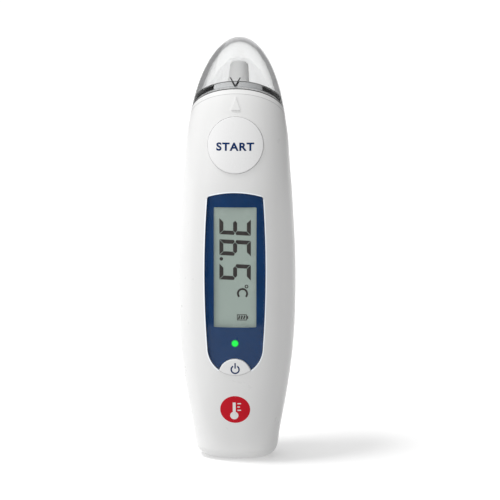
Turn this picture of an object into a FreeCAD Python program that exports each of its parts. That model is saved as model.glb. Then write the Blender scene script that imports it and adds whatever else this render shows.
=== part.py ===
import FreeCAD, Part
import functools
import math
import os
from FreeCAD import Vector

# Digital ear thermometer that stands upright on a flat base, with a head that
# leans back and a clear cap over the probe.
# Millimetres. +Z is up, the display faces -Y and the origin is the middle of the base.

# ---------------------------------------------------------------- driving dimensions
WALL = 2.0                  # housing wall
BASE_ROUND = 5.0            # rounding of the base edge
SHAPE_POINTS = 24           # points round each section of the body

# The head is an ellipsoid about a leaning axis.
HEAD_LEAN = 30.0            # degrees, axis of the head, probe and cap
HEAD_HALF_WIDTH = 17.0
HEAD_FLATNESS = 0.90        # half depth over half width
HEAD_HALF_LENGTH = 43.2
HEAD_DROP = 12.0            # ellipsoid's middle below the head's centre
HEAD_Y = 4.0                # head's centre, on the seam under the collar
HEAD_Z = 115.9
SEAM_LEAN = 38.0            # degrees, normal of the seam planes of the head

# Sections of the body up to the head: height, depth of the middle, lean of the
# section's plane in degrees, half width, half depth, squareness of the outline.
SECTIONS = (
    (0.0, 1.0, 0.0, 14.1, 10.2, 2.3),
    (11.0, 0.6, 0.0, 15.1, 11.8, 2.3),
    (21.0, 0.2, 0.0, 16.85, 13.3, 2.3),
    (33.0, 0.0, 0.0, 18.6, 14.4, 2.3),
    (46.0, 0.0, 0.0, 19.7, 15.0, 2.3),
    (59.0, 0.0, 0.0, 20.0, 15.2, 2.3),
    (73.0, 0.0, 0.0, 19.75, 15.0, 2.3),
    (86.0, 0.0, 3.0, 19.05, 14.6, 2.25),
    (96.5, 0.3, 10.0, 18.3, 14.2, 2.2),
    (105.3, 1.3, 20.0, 17.6, 14.1, 2.1),
    (111.6, 2.7, 30.0, 17.05, 14.4, 2.03),
)

# Heights of the head's parts along the normal of the seam planes.
BODY_TOP = 0.65             # seam between the housing and the collar
COLLAR_LINE = 0.06          # fine open line at that seam
COLLAR_TOP = 2.8
CAP_EDGE = 2.95
RING_BOTTOM = 3.1
RING_GROOVE = 4.0           # groove between the ring's two bands
RING_GROOVE_H = 0.2
RING_GROOVE_DEPTH = 0.3
RING_TOP = 6.15
CAP_WALL = 2.1
SKIRT_WALL = 0.5            # the cap's thin skirt over the ring
SKIRT_TOP = 6.25
RING_INSET = 0.75           # ring's outside below the cap's outside
NECK_INSET = 0.85
NECK_WALL_INSET = 3.0       # ring's inside and the neck's inside step
NECK_BORE_INSET = 4.6
NECK_TUBE_BOTTOM = -2.0     # neck's tube reaches down inside the housing
SEAL_BOTTOM = 4.8
SEAL_TOP = 5.2
FIT_GAP = 0.05              # gap between parts that are pushed together
SLIP_GAP = 0.1              # gap between parts that drop in

# Split between the front and the rear housing, seen from the side.
SPLIT_Y = 1.5
SPLIT_BEND_Z = 84.0
SPLIT_TOP_Y = 5.5
SPLIT_TOP_Z = 116.0
SPLIT_FOOT_Z = -5.0         # split reaches below the base
SPLIT_RUN_OUT = 20.0        # straight end of the split over the head
SEAM_GAP = 0.16
LIP_DEPTH = 1.4             # overlap of the lip behind the seam
LIP_INSET = 1.0

# Display.
PANEL_TOP_Z = 93.1
PANEL_CORNER_X = 9.26
PANEL_CORNER_Z = 91.6
PANEL_SIDE_X = 10.24
PANEL_SIDE_Z = 66.6
PANEL_END_R = 9.35
PANEL_END_Z = 40.6
PANEL_CORNER_R = 0.9
PANEL_STEP = 0.12           # window below the housing's surface
WINDOW_T = 1.0
MASK_T = 0.2
FILM_GAP = 0.03             # glue on each side of the printed mask
VIEW_HALF_WIDTH = 7.15
VIEW_BOTTOM = 47.6
VIEW_TOP = 88.2
VIEW_CORNER_R = 0.4
GLASS_HALF_WIDTH = 8.0
GLASS_BOTTOM = 46.2
GLASS_TOP = 89.7
GLASS_T = 0.8
GLASS_Y = -12.0             # front face of the display's front glass
LEDGE = 2.0                 # contact ledge of the front glass
POCKET_GAP = 0.3            # pocket of the housing round the display
POCKET_CORNER_R = 0.5
POCKET_BACK_Y = -7.0
REFLECTOR_T = 0.3
FRAME_RIM = 1.2             # holder's rim outside the glass
FRAME_SHELF = 0.8           # holder's shelf under the glass
ZEBRA_HALF_WIDTH = 7.5
LED_Z = 42.1
LED_D = 2.5
LED_CHIP = 1.4              # side of the light's base on the board
LED_LAYER = 0.4             # height of its base and of its lens
PIPE_GAP = 1.0              # light pipe's end over the board
PIPE_COLLAR = 0.6
PIPE_COLLAR_Y = -9.0
PIPE_COLLAR_T = 0.8

# Main board.
BOARD_FRONT_Y = -4.6
BOARD_T = 1.2
BOARD_HALF_WIDTH = 10.2
BOARD_BOTTOM = 30.0
BOARD_TOP = 112.0
BOARD_CORNER_R = 1.5
BOARD_PLAY = 0.2
# Packages on the back of the board: x, z, width, height, thickness.
CHIPS = ((-1.0, 84.0, 10.0, 10.0, 1.4), (4.6, 98.5, 5.0, 4.0, 1.2), (-4.5, 99.0, 4.0, 5.0, 1.2))
QUARTZ_X = 4.1
QUARTZ_Z = 92.5
QUARTZ_HALF_WIDTH = 1.1
QUARTZ_HALF_HEIGHT = 3.0
QUARTZ_CORNER_R = 1.0
QUARTZ_T = 2.2
BUZZER_X = -4.6
BUZZER_Z = 71.5
BUZZER_R = 4.5
BUZZER_T = 3.0
BUZZER_HOLE_R = 0.8
BUZZER_HOLE_DEPTH = 1.0

# Buttons, pressed along +Y.
BUTTON_GAP = 0.08
MEASURE_Z = 108.8
MEASURE_R = 9.3
MEASURE_RISE = 0.4          # button's surface over the housing's
POWER_Z = 31.4
POWER_R = 5.5
POWER_RISE = 0.25
FLANGE_TOP = 2.3            # button flange under the housing's surface
FLANGE_BOTTOM = 3.1
FLANGE_WIDTH = 0.9
SWITCH_SIDE = 4.6
SWITCH_H = 1.6
SWITCH_CORNER_R = 0.3
SWITCH_FLOOR = 0.5
PLUNGER_R = 1.15
PLUNGER_RISE = 0.55
PLUNGER_LENGTH = 1.1
PLUNGER_EDGE = 0.2
MEASURE_STEM_GAP = 0.6
POWER_STEM_GAP = 0.45
STEM_R = 1.8
POWER_SWITCH_Z = 34.0
BUTTON_EDGE = 0.3

# Marks.
MARK_HALF_WIDTH = 1.5
MARK_BOTTOM = 120.3
MARK_TOP = 124.6
MARK_RISE = 0.35
MARK_ROOT = 0.5             # depth to which the mark is fused with the wall
BADGE_Z = 19.05
BADGE_HALF_WIDTH = 5.1
BADGE_HALF_HEIGHT = 4.85
BADGE_T = 0.6

# Batteries, size AAA.
CELL_R = 5.15
CELL_X = 5.45
CELL_Y = 5.3
CELL_BOTTOM = 18.5
CELL_LENGTH = 44.5
NUB_R = 1.9
NUB_H = 1.2
CELL_EDGE = 0.4
CELL_PLAY = 0.2
CONTACT_T = 0.3
PLATE_X0 = 2.4              # contact plates, outward from the middle
PLATE_X1 = 8.5
PLATE_FRONT = 3.2           # contact plates in front of and behind the cells' axis
PLATE_BACK = 3.0
POST_R = 1.6
LEAF_HALF_WIDTH = 1.5
LEAF_FRONT = 2.6
LEAF_BACK = 2.2
LEAF_BACK_SHARE = 0.4       # height of the leaf's back end over its root
LEAF_ROOT_GAP = 0.1
LEAF_TIP_GAP = 0.35
TRAY_HALF_WIDTH = 11.8
TRAY_FLOOR_Y = -1.0
TRAY_BACK_Y = 6.2
TRAY_BOTTOM = 15.2
TRAY_TOP = 66.4
TRAY_WALL = 1.4
TRAY_PLAY = 0.3

# Battery cover.
COVER_HALF_WIDTH = 12.0
COVER_BOTTOM = 12.6
COVER_TOP = 66.0
COVER_CORNER_R = 4.0
COVER_GAP = 0.2
COVER_T = 1.8
GRIP_Z = 57.0
GRIP_PITCH = 1.7
GRIP_COUNT = 5
GRIP_HALF_WIDTH = 5.5
GRIP_HALF_HEIGHT = 0.4
GRIP_END_R = 0.39
GRIP_DEPTH = 0.45
HOOK_X = 5.2                # two hooks under the wall at the cover's lower edge
HOOK_HALF_WIDTH = 1.6
HOOK_Y = 7.2
HOOK_T = 1.6
HOOK_ROOT_Y = 12.0
HOOK_LOW_Z = 10.6
HOOK_TOP_Z = 14.4
STEM_T = 1.4
HOOK_BITE = 0.4
PAD_HALF_WIDTH = 9.0        # foam strip that steadies the cells
PAD_BOTTOM = 32.0
PAD_TOP = 44.0
PAD_CORNER_R = 1.0
PAD_T = 0.5

# Housing screws: place, and the depth of the seat of the head.
SCREWS = ((12.9, 98.0, 8.4), (13.0, 71.0, 9.6))
SCREW_HEAD_R = 2.0
SCREW_HEAD_H = 1.3
SCREW_R = 1.1
SCREW_LENGTH = 12.0
SCREW_SHANK_R = 0.95
SCREW_HEAD_EDGE = 0.5
SLOT_HALF_LENGTH = 1.2
SLOT_HALF_WIDTH = 0.25
SLOT_FLOOR = 0.5            # floor of the cross slot over the head's seat
THREAD_BITE = 0.1           # screw hole's wall inside the thread
SCREW_HOLE_Y = -5.5
SCREW_PLAY = 0.2
HEAD_PLAY = 0.3
BOSS_R = 2.4
SEAT_BOSS_R = 3.3

# Probe, as distances along the head's axis from the head's centre.
PROBE_TIP = 20.9
PROBE_TIP_R = 3.15
PROBE_BASE_R = 3.7
PROBE_BORE_R = 2.35
PROBE_EDGE_R = 1.0
PROBE_MOUTH = 0.35          # bevel inside the probe's tip
WAIST_HEIGHT = 13.0         # probe's neck, where it starts to flare
FLARE_MID_R = 5.3
FLARE_MID_HEIGHT = 9.2
FLARE_R = 9.0
FLARE_HEIGHT = 6.4
PLATE_BORE_R = 6.5
GUIDE_BOTTOM = 11.6
GUIDE_TOP = 19.9
GUIDE_WALL = 0.5
PROBE_WINDOW_T = 0.5
SENSOR_R = 2.7
SENSOR_BOTTOM = 7.6
SENSOR_H = 3.6
SENSOR_FLANGE = 0.4
SENSOR_OPENING_R = 1.25
SENSOR_OPENING_DEPTH = 0.3
PIN_COUNT = 3
PIN_R = 0.225
PIN_LENGTH = 5.0
PIN_CIRCLE_R = 1.27
CAN_BORE_R = 3.2
HOLDER_R = 6.0
HOLDER_H = 3.0
HOLDER_GAP = 0.05
HOLDER_BORE_R = 1.9
SEAL_INSET = 3.3
FLEX_T = 0.2
FLEX_HALF_WIDTH = 2.5
FLEX_SLOPE = 0.2
FLEX_LAP = 4.0              # length of ribbon that lies on the board

BIG = 80.0                  # larger than the object, for cutting tools
TINY = 0.1                  # tolerance for finding edges

LEAN = math.radians(HEAD_LEAN)
SEAM = math.radians(SEAM_LEAN)
HEAD = Vector(0, HEAD_Y, HEAD_Z)
AXIS = Vector(0, math.sin(LEAN), math.cos(LEAN))


# ---------------------------------------------------------------- helpers
def box(x0, x1, y0, y1, z0, z1):
    return Part.makeBox(x1 - x0, y1 - y0, z1 - z0, Vector(x0, y0, z0))


def along_y(radius, x, z, y0, y1):
    return Part.makeCylinder(radius, y1 - y0, Vector(x, y0, z), Vector(0, 1, 0))


def on_axis(radius, start, end):
    """Cylinder on the head's axis."""
    return Part.makeCylinder(radius, end - start, HEAD + AXIS * start, AXIS)


def slab(bottom, top):
    """Everything between two seam planes of the head."""
    block = Part.makeBox(BIG, BIG, top - bottom, Vector(-BIG / 2, -BIG / 2, bottom))
    block.rotate(Vector(0, 0, 0), Vector(1, 0, 0), -SEAM_LEAN)
    block.translate(HEAD)
    return block


def rounded(x0, x1, z0, z1, radius, y0, y1):
    """Block with rounded corners seen from the front."""
    block = box(x0, x1, y0, y1, z0, z1)
    upright = [e for e in block.Edges if abs(e.tangentAt(e.FirstParameter).y) > 0.9]
    return block.makeFillet(radius, upright)


def arc(a, b, c):
    return Part.Arc(a, b, c).toShape()


def prism(edges, y0, y1):
    """Solid along Y from a closed outline in the XZ plane."""
    outline = Part.Wire(edges)
    outline.translate(Vector(0, y0, 0))
    return Part.Face(outline).extrude(Vector(0, y1 - y0, 0))


def join(first, *others):
    return first.fuse(list(others))


def soften(shape, radius):
    """Round the rim where a button's side meets its outer face."""
    outer = min(shape.Faces, key=lambda face: face.CenterOfMass.y)
    return shape.makeFillet(radius, outer.Edges)


# ---------------------------------------------------------------- outer form
def ring_points(y, z, lean, half_width, half_depth, power):
    """Closed curve round one section of the body."""
    turn = math.radians(lean)
    points = []
    for i in range(SHAPE_POINTS):
        angle = 2 * math.pi * i / SHAPE_POINTS
        c, s = math.cos(angle), math.sin(angle)
        x = math.copysign(abs(c) ** (2 / power), c) * half_width
        d = math.copysign(abs(s) ** (2 / power), s) * half_depth
        points.append(Vector(x, y + d * math.cos(turn), z - d * math.sin(turn)))
    curve = Part.BSplineCurve()
    curve.interpolate(points, PeriodicFlag=True)
    return Part.Wire(curve.toShape())


def head_section(height):
    """Ellipse in which a seam plane at a height cuts the head's ellipsoid."""
    depth = HEAD_FLATNESS * HEAD_HALF_WIDTH
    turn = SEAM - LEAN
    c, s = math.cos(turn), -math.sin(turn)
    p0, u0 = height * math.sin(turn), height * math.cos(turn) + HEAD_DROP
    qa = (c / depth) ** 2 + (s / HEAD_HALF_LENGTH) ** 2
    qb = p0 * c / depth ** 2 + u0 * s / HEAD_HALF_LENGTH ** 2
    qc = (p0 / depth) ** 2 + (u0 / HEAD_HALF_LENGTH) ** 2 - 1
    middle = -qb / qa
    half_depth = math.sqrt(middle ** 2 - qc / qa)
    p, u = p0 + middle * c, u0 + middle * s
    half_width = HEAD_HALF_WIDTH * math.sqrt(
        1 - (p / depth) ** 2 - (u / HEAD_HALF_LENGTH) ** 2)
    centre = HEAD + Vector(0, math.cos(LEAN), -math.sin(LEAN)) * p + AXIS * (u - HEAD_DROP)
    return centre.y, centre.z, SEAM_LEAN, half_width, half_depth, 2.0


def body_form(inset):
    """Body from the base to just over the collar's seam, inset by a wall."""
    wires = []
    for z, y, lean, half_width, half_depth, power in SECTIONS:
        z = max(z, inset)
        wires.append(ring_points(y, z, lean, half_width - inset, half_depth - inset, power))
    for height in (0.0, COLLAR_TOP):
        y, z, lean, half_width, half_depth, power = head_section(height)
        wires.append(ring_points(y, z, lean, half_width - inset, half_depth - inset, power))
    solid = Part.makeLoft(wires, True, False)
    bottom = [e for e in solid.Edges if e.BoundBox.ZMax < max(inset, 0) + TINY]
    return solid.makeFillet(BASE_ROUND - inset, bottom)


def head_form(inset):
    """Whole ellipsoid of the head, inset by a wall."""
    scale = FreeCAD.Matrix()
    depth = HEAD_HALF_WIDTH * HEAD_FLATNESS
    scale.scale(HEAD_HALF_WIDTH - inset, depth - inset, HEAD_HALF_LENGTH - inset)
    solid = Part.makeSphere(1.0).transformGeometry(scale)
    solid.translate(Vector(0, 0, -HEAD_DROP))
    solid.rotate(Vector(0, 0, 0), Vector(1, 0, 0), -HEAD_LEAN)
    solid.translate(HEAD)
    return solid


@functools.cache
def body(inset=0.0):
    """Body form up to the collar's seam, inset by a depth."""
    return body_form(inset).cut(slab(BODY_TOP, BIG))


@functools.cache
def skin(top, bottom):
    """Layer of the body between two depths under its surface."""
    return body(top).cut(body(bottom))


def behind_split(offset):
    """Everything behind the split of the housing, moved back by an offset."""
    y0, y1 = SPLIT_Y + offset, SPLIT_TOP_Y + offset
    radius = ((SPLIT_TOP_Z - SPLIT_BEND_Z) ** 2 + (y1 - y0) ** 2) / (2 * (y1 - y0))
    half = math.asin((SPLIT_TOP_Z - SPLIT_BEND_Z) / radius) / 2
    middle = Vector(-BIG / 2, y0 + radius * (1 - math.cos(half)),
                    SPLIT_BEND_Z + radius * math.sin(half))
    low = Vector(-BIG / 2, y0, SPLIT_FOOT_Z)
    bend = Vector(-BIG / 2, y0, SPLIT_BEND_Z)
    end = Vector(-BIG / 2, y1, SPLIT_TOP_Z)
    over = end + Vector(0, math.sin(2 * half), math.cos(2 * half)) * SPLIT_RUN_OUT
    far_top = Vector(-BIG / 2, BIG, over.z)
    far_low = Vector(-BIG / 2, BIG, SPLIT_FOOT_Z)
    edges = [Part.makeLine(low, bend), arc(bend, middle, end), Part.makeLine(end, over),
             Part.makeLine(over, far_top), Part.makeLine(far_top, far_low),
             Part.makeLine(far_low, low)]
    return Part.Face(Part.Wire(edges)).extrude(Vector(BIG, 0, 0))


# ---------------------------------------------------------------- outlines
@functools.cache
def panel(grow):
    """Display panel's outline as a solid along Y, grown by a gap."""
    corner_x, corner_z = PANEL_CORNER_X + grow, PANEL_CORNER_Z + grow
    end_r, side_x = PANEL_END_R + grow, PANEL_SIDE_X + grow
    left_top, right_top = Vector(-corner_x, 0, corner_z), Vector(corner_x, 0, corner_z)
    left_end, right_end = Vector(-end_r, 0, PANEL_END_Z), Vector(end_r, 0, PANEL_END_Z)
    edges = [arc(left_top, Vector(0, 0, PANEL_TOP_Z + grow), right_top),
             arc(right_top, Vector(side_x, 0, PANEL_SIDE_Z), right_end),
             arc(right_end, Vector(0, 0, PANEL_END_Z - end_r), left_end),
             arc(left_end, Vector(-side_x, 0, PANEL_SIDE_Z), left_top)]
    block = prism(edges, -BIG / 2, 0)
    corners = [e for e in block.Edges
               if e.BoundBox.ZMin > corner_z - TINY and e.BoundBox.XLength < TINY]
    return block.makeFillet(PANEL_CORNER_R + grow, corners)


def power_arc(grow):
    return along_y(POWER_R + grow, 0, POWER_Z, -BIG / 2, 0)


def power_outline(grow):
    """Lens shape of the power button: its own arc over the panel's end arc."""
    lower = along_y(PANEL_END_R + grow, 0, PANEL_END_Z, -BIG / 2, 0)
    return power_arc(grow).common(lower)


def measure_outline(radius):
    return along_y(radius, 0, MEASURE_Z, -BIG / 2, 0)


def view_window():
    return rounded(-VIEW_HALF_WIDTH, VIEW_HALF_WIDTH, VIEW_BOTTOM, VIEW_TOP, VIEW_CORNER_R,
                   -BIG / 2, 0)


def cover_outline(grow):
    return rounded(-COVER_HALF_WIDTH - grow, COVER_HALF_WIDTH + grow,
                   COVER_BOTTOM - grow, COVER_TOP + grow, COVER_CORNER_R + grow, 0, BIG / 2)


def badge_outline():
    ellipse = Part.Ellipse(Vector(0, 0, BADGE_Z), BADGE_HALF_WIDTH, BADGE_HALF_HEIGHT)
    edge = ellipse.toShape()
    edge.rotate(Vector(0, 0, BADGE_Z), Vector(1, 0, 0), 90)
    return prism([edge], -BIG / 2, 0)


def mark_outline():
    a = Vector(-MARK_HALF_WIDTH, 0, MARK_BOTTOM)
    b = Vector(MARK_HALF_WIDTH, 0, MARK_BOTTOM)
    c = Vector(0, 0, MARK_TOP)
    return prism([Part.makeLine(a, b), Part.makeLine(b, c), Part.makeLine(c, a)], -BIG / 2, 0)


def screw_places():
    return [(side * x, z, seat) for x, z, seat in SCREWS for side in (-1, 1)]


# ---------------------------------------------------------------- housing
def front_housing():
    shell = body().cut(body(WALL)).cut(behind_split(0))
    lip = skin(LIP_INSET, WALL).common(behind_split(0)).cut(behind_split(LIP_DEPTH))
    shell = join(shell, lip)
    for x, z, seat in screw_places():
        boss = along_y(BOSS_R, x, z, -BIG / 2, BIG / 2).common(body(LIP_INSET))
        boss = boss.cut(behind_split(-SLIP_GAP))
        hole = along_y(SCREW_R - THREAD_BITE, x, z, SCREW_HOLE_Y, SPLIT_TOP_Y)
        shell = join(shell, boss).cut(hole)
    recess = panel(FIT_GAP).cut(body(PANEL_STEP + WINDOW_T + MASK_T + 2 * FILM_GAP))
    shell = shell.cut(recess)
    half = GLASS_HALF_WIDTH + POCKET_GAP
    shell = shell.cut(rounded(-half, half, GLASS_BOTTOM - POCKET_GAP, GLASS_TOP + POCKET_GAP,
                              POCKET_CORNER_R, -BIG / 2, POCKET_BACK_Y))
    shell = shell.cut(along_y(LED_D / 2 + SLIP_GAP, 0, LED_Z, -BIG / 2, 0))
    shell = shell.cut(power_outline(BUTTON_GAP))
    shell = shell.cut(measure_outline(MEASURE_R + BUTTON_GAP))
    shell = shell.cut(badge_outline().cut(body(BADGE_T)))
    mark = mark_outline().common(body(-MARK_RISE)).cut(body(MARK_ROOT))
    return join(shell, mark)


def rear_housing():
    shell = body().cut(body(WALL)).common(behind_split(SEAM_GAP))
    for x, z, seat in screw_places():
        boss = along_y(SEAT_BOSS_R, x, z, 0, BIG / 2).common(body(LIP_INSET))
        shell = join(shell, boss.common(behind_split(SEAM_GAP)))
        shell = shell.cut(along_y(SCREW_R + SCREW_PLAY, x, z, SCREW_HOLE_Y, BIG / 2))
        shell = shell.cut(along_y(SCREW_HEAD_R + HEAD_PLAY, x, z, seat, BIG / 2))
    groove = skin(LIP_INSET - SLIP_GAP, WALL + SLIP_GAP).cut(behind_split(LIP_DEPTH + SLIP_GAP))
    return shell.cut(groove).cut(cover_outline(COVER_GAP))


def battery_cover():
    plate = cover_outline(0).common(skin(0.0, COVER_T))
    for i in range(GRIP_COUNT):
        z = GRIP_Z + GRIP_PITCH * i
        groove = rounded(-GRIP_HALF_WIDTH, GRIP_HALF_WIDTH, z - GRIP_HALF_HEIGHT,
                         z + GRIP_HALF_HEIGHT, GRIP_END_R, 0, BIG / 2)
        plate = plate.cut(groove.cut(body(GRIP_DEPTH)))
    for x in (-HOOK_X, HOOK_X):
        left, right = x - HOOK_HALF_WIDTH, x + HOOK_HALF_WIDTH
        tongue = box(left, right, HOOK_Y, HOOK_Y + HOOK_T, HOOK_LOW_Z, HOOK_TOP_Z)
        stem_bar = box(left, right, HOOK_Y, HOOK_ROOT_Y, HOOK_TOP_Z - STEM_T, HOOK_TOP_Z)
        plate = plate.fuse(tongue.fuse(stem_bar).common(body(COVER_T - HOOK_BITE)))
    return plate


def cover_pad():
    strip = rounded(-PAD_HALF_WIDTH, PAD_HALF_WIDTH, PAD_BOTTOM, PAD_TOP, PAD_CORNER_R, 0, BIG / 2)
    return strip.common(skin(COVER_T, COVER_T + PAD_T))


def badge():
    return badge_outline().common(skin(0.0, BADGE_T))


def housing_screws():
    screws = []
    for x, z, seat in screw_places():
        head = along_y(SCREW_HEAD_R, x, z, seat, seat + SCREW_HEAD_H)
        top = [e for e in head.Edges if e.BoundBox.YMin > seat + SCREW_HEAD_H - TINY]
        head = head.makeFillet(SCREW_HEAD_EDGE, top)
        for turn in (0, 90):
            slot = box(x - SLOT_HALF_LENGTH, x + SLOT_HALF_LENGTH, seat + SLOT_FLOOR,
                       seat + 2 * SCREW_HEAD_H, z - SLOT_HALF_WIDTH, z + SLOT_HALF_WIDTH)
            slot.rotate(Vector(x, 0, z), Vector(0, 1, 0), turn)
            head = head.cut(slot)
        shank = along_y(SCREW_SHANK_R, x, z, seat - SCREW_LENGTH, seat)
        screws.append(join(head, shank))
    return Part.makeCompound(screws)


# ---------------------------------------------------------------- head
def neck_collar():
    ring = head_form(0.0).common(slab(BODY_TOP + COLLAR_LINE, COLLAR_TOP))
    neck = head_form(NECK_INSET).common(slab(BODY_TOP, RING_BOTTOM))
    tube = head_form(NECK_WALL_INSET + FIT_GAP).common(slab(NECK_TUBE_BOTTOM, SEAL_BOTTOM))
    tube = tube.common(body_form(WALL + SLIP_GAP).fuse(slab(BODY_TOP, BIG)))
    bore = head_form(NECK_BORE_INSET).common(slab(2 * NECK_TUBE_BOTTOM, BIG))
    return join(ring, neck, tube).cut(bore)


def trim_ring():
    """Bright ring of two bands with a fine groove between them."""
    ring = head_form(RING_INSET).cut(head_form(NECK_WALL_INSET + FIT_GAP))
    ring = ring.common(slab(RING_BOTTOM, RING_TOP))
    groove = slab(RING_GROOVE, RING_GROOVE + RING_GROOVE_H)
    return ring.cut(groove.cut(head_form(RING_INSET + RING_GROOVE_DEPTH)))


def cap():
    """Clear cap, thick over the probe and thin where it slips over the ring."""
    shell = head_form(0.0).cut(head_form(CAP_WALL)).common(slab(CAP_EDGE, BIG))
    return shell.cut(head_form(SKIRT_WALL).common(slab(CAP_EDGE, SKIRT_TOP)))


def nose_cone():
    """Probe with its flared base, turned about the head's axis."""
    edge_mid = PROBE_EDGE_R * (1 - math.sqrt(0.5))
    tip = Vector(PROBE_TIP_R - PROBE_EDGE_R, 0, PROBE_TIP)
    shoulder = Vector(PROBE_TIP_R, 0, PROBE_TIP - PROBE_EDGE_R)
    over = Vector(PROBE_TIP_R - edge_mid, 0, PROBE_TIP - edge_mid)
    waist = Vector(PROBE_BASE_R, 0, WAIST_HEIGHT)
    flare_mid = Vector(FLARE_MID_R, 0, FLARE_MID_HEIGHT)
    flare = Vector(FLARE_R, 0, FLARE_HEIGHT)
    bottom = Vector(FLARE_R, 0, SENSOR_BOTTOM - HOLDER_H)
    holder_bottom = Vector(HOLDER_R + HOLDER_GAP, 0, SENSOR_BOTTOM - HOLDER_H)
    holder_top = Vector(HOLDER_R + HOLDER_GAP, 0, SENSOR_BOTTOM)
    can_bottom = Vector(CAN_BORE_R, 0, SENSOR_BOTTOM)
    step = Vector(CAN_BORE_R, 0, GUIDE_BOTTOM)
    bore = Vector(PROBE_BORE_R, 0, GUIDE_BOTTOM)
    bore_top = Vector(PROBE_BORE_R, 0, PROBE_TIP - PROBE_MOUTH)
    edges = [arc(tip, over, shoulder), Part.makeLine(shoulder, waist),
             arc(waist, flare_mid, flare), Part.makeLine(flare, bottom),
             Part.makeLine(bottom, holder_bottom), Part.makeLine(holder_bottom, holder_top),
             Part.makeLine(holder_top, can_bottom), Part.makeLine(can_bottom, step),
             Part.makeLine(step, bore), Part.makeLine(bore, bore_top),
             Part.makeLine(bore_top, tip)]
    solid = Part.Face(Part.Wire(edges)).revolve(Vector(0, 0, 0), Vector(0, 0, 1), 360)
    solid.rotate(Vector(0, 0, 0), Vector(1, 0, 0), -HEAD_LEAN)
    solid.translate(HEAD)
    plate = head_form(NECK_WALL_INSET + SLIP_GAP).common(slab(SEAL_TOP, RING_TOP))
    plate = plate.cut(on_axis(PLATE_BORE_R, 0, PROBE_TIP))
    return join(solid, plate)


def probe_window():
    bottom = GUIDE_TOP + SLIP_GAP
    return on_axis(PROBE_BORE_R, bottom, bottom + PROBE_WINDOW_T)


def wave_guide():
    tube = on_axis(PROBE_BORE_R, GUIDE_BOTTOM, GUIDE_TOP)
    return tube.cut(on_axis(PROBE_BORE_R - GUIDE_WALL, GUIDE_BOTTOM, GUIDE_TOP))


def sensor_can():
    can = on_axis(SENSOR_R, SENSOR_BOTTOM, SENSOR_BOTTOM + SENSOR_H)
    flange = on_axis(SENSOR_R + SENSOR_FLANGE, SENSOR_BOTTOM, SENSOR_BOTTOM + SENSOR_FLANGE)
    top = SENSOR_BOTTOM + SENSOR_H
    opening = on_axis(SENSOR_OPENING_R, top - SENSOR_OPENING_DEPTH, top)
    return join(can, flange).cut(opening)


def sensor_pins():
    pins = []
    for i in range(PIN_COUNT):
        foot = Vector(PIN_CIRCLE_R, 0, SENSOR_BOTTOM - PIN_LENGTH)
        pin = Part.makeCylinder(PIN_R, PIN_LENGTH, foot)
        pin.rotate(Vector(0, 0, 0), Vector(0, 0, 1), 360 / PIN_COUNT * i + 90)
        pins.append(pin)
    group = Part.makeCompound(pins)
    group.rotate(Vector(0, 0, 0), Vector(1, 0, 0), -HEAD_LEAN)
    group.translate(HEAD)
    return group


def sensor_holder():
    """Metal sleeve that keeps the sensor's case at an even temperature."""
    sleeve = on_axis(HOLDER_R, SENSOR_BOTTOM - HOLDER_H, SENSOR_BOTTOM)
    return sleeve.cut(on_axis(HOLDER_BORE_R, SENSOR_BOTTOM - HOLDER_H, SENSOR_BOTTOM))


def nose_seal():
    """Flat gasket between the collar's tube and the plate of the nose cone."""
    ring = head_form(SEAL_INSET).cut(head_form(NECK_BORE_INSET - SLIP_GAP))
    return ring.common(slab(SEAL_BOTTOM, SEAL_TOP))


def sensor_flex():
    """Flat ribbon from the sensor's pins down to the top of the main board."""
    start = HEAD + AXIS * (SENSOR_BOTTOM - PIN_LENGTH - FLEX_T)
    corner_z = start.z - (start.y - BOARD_FRONT_Y) * FLEX_SLOPE
    corner = Vector(0, BOARD_FRONT_Y + BOARD_T + FLEX_T, corner_z)
    end = Vector(0, corner.y, BOARD_TOP - FLEX_LAP)
    path = Part.Wire([Part.makeLine(start, corner), Part.makeLine(corner, end)])
    band = path.makeOffset2D(FLEX_T, openResult=True, fill=True)
    band.translate(Vector(-FLEX_HALF_WIDTH, 0, 0))
    return band.extrude(Vector(2 * FLEX_HALF_WIDTH, 0, 0))


# ---------------------------------------------------------------- display
def display_window():
    lens = panel(0).common(skin(PANEL_STEP, PANEL_STEP + WINDOW_T))
    return lens.cut(power_arc(BUTTON_GAP))


def display_mask():
    under = PANEL_STEP + WINDOW_T + FILM_GAP
    film = panel(0).common(skin(under, under + MASK_T)).cut(power_arc(BUTTON_GAP))
    return film.cut(view_window()).cut(along_y(LED_D / 2, 0, LED_Z, -BIG / 2, 0))


def glass_plate(bottom, top, front, thickness):
    return box(-GLASS_HALF_WIDTH, GLASS_HALF_WIDTH, front, front + thickness, bottom, top)


def lcd_front_glass():
    return glass_plate(GLASS_BOTTOM, GLASS_TOP, GLASS_Y, GLASS_T)


def lcd_rear_glass():
    return glass_plate(GLASS_BOTTOM + LEDGE, GLASS_TOP, GLASS_Y + GLASS_T, GLASS_T)


def lcd_reflector():
    return glass_plate(GLASS_BOTTOM + LEDGE, GLASS_TOP, GLASS_Y + 2 * GLASS_T, REFLECTOR_T)


def lcd_frame():
    """Holder that carries the display over the main board."""
    y0 = GLASS_Y + 2 * GLASS_T + REFLECTOR_T
    outer_x, inner_x = GLASS_HALF_WIDTH + FRAME_RIM, GLASS_HALF_WIDTH - FRAME_SHELF
    low, top = GLASS_BOTTOM - FRAME_RIM, GLASS_TOP + FRAME_RIM
    outer = box(-outer_x, outer_x, y0, BOARD_FRONT_Y, low, top)
    inner = box(-inner_x, inner_x, y0, BOARD_FRONT_Y, GLASS_BOTTOM + LEDGE + FRAME_SHELF,
                GLASS_TOP - FRAME_SHELF)
    slot = box(-GLASS_HALF_WIDTH, GLASS_HALF_WIDTH, y0, BOARD_FRONT_Y,
               GLASS_BOTTOM - SLIP_GAP, GLASS_BOTTOM + LEDGE - SLIP_GAP)
    return outer.cut(inner).cut(slot)


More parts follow.
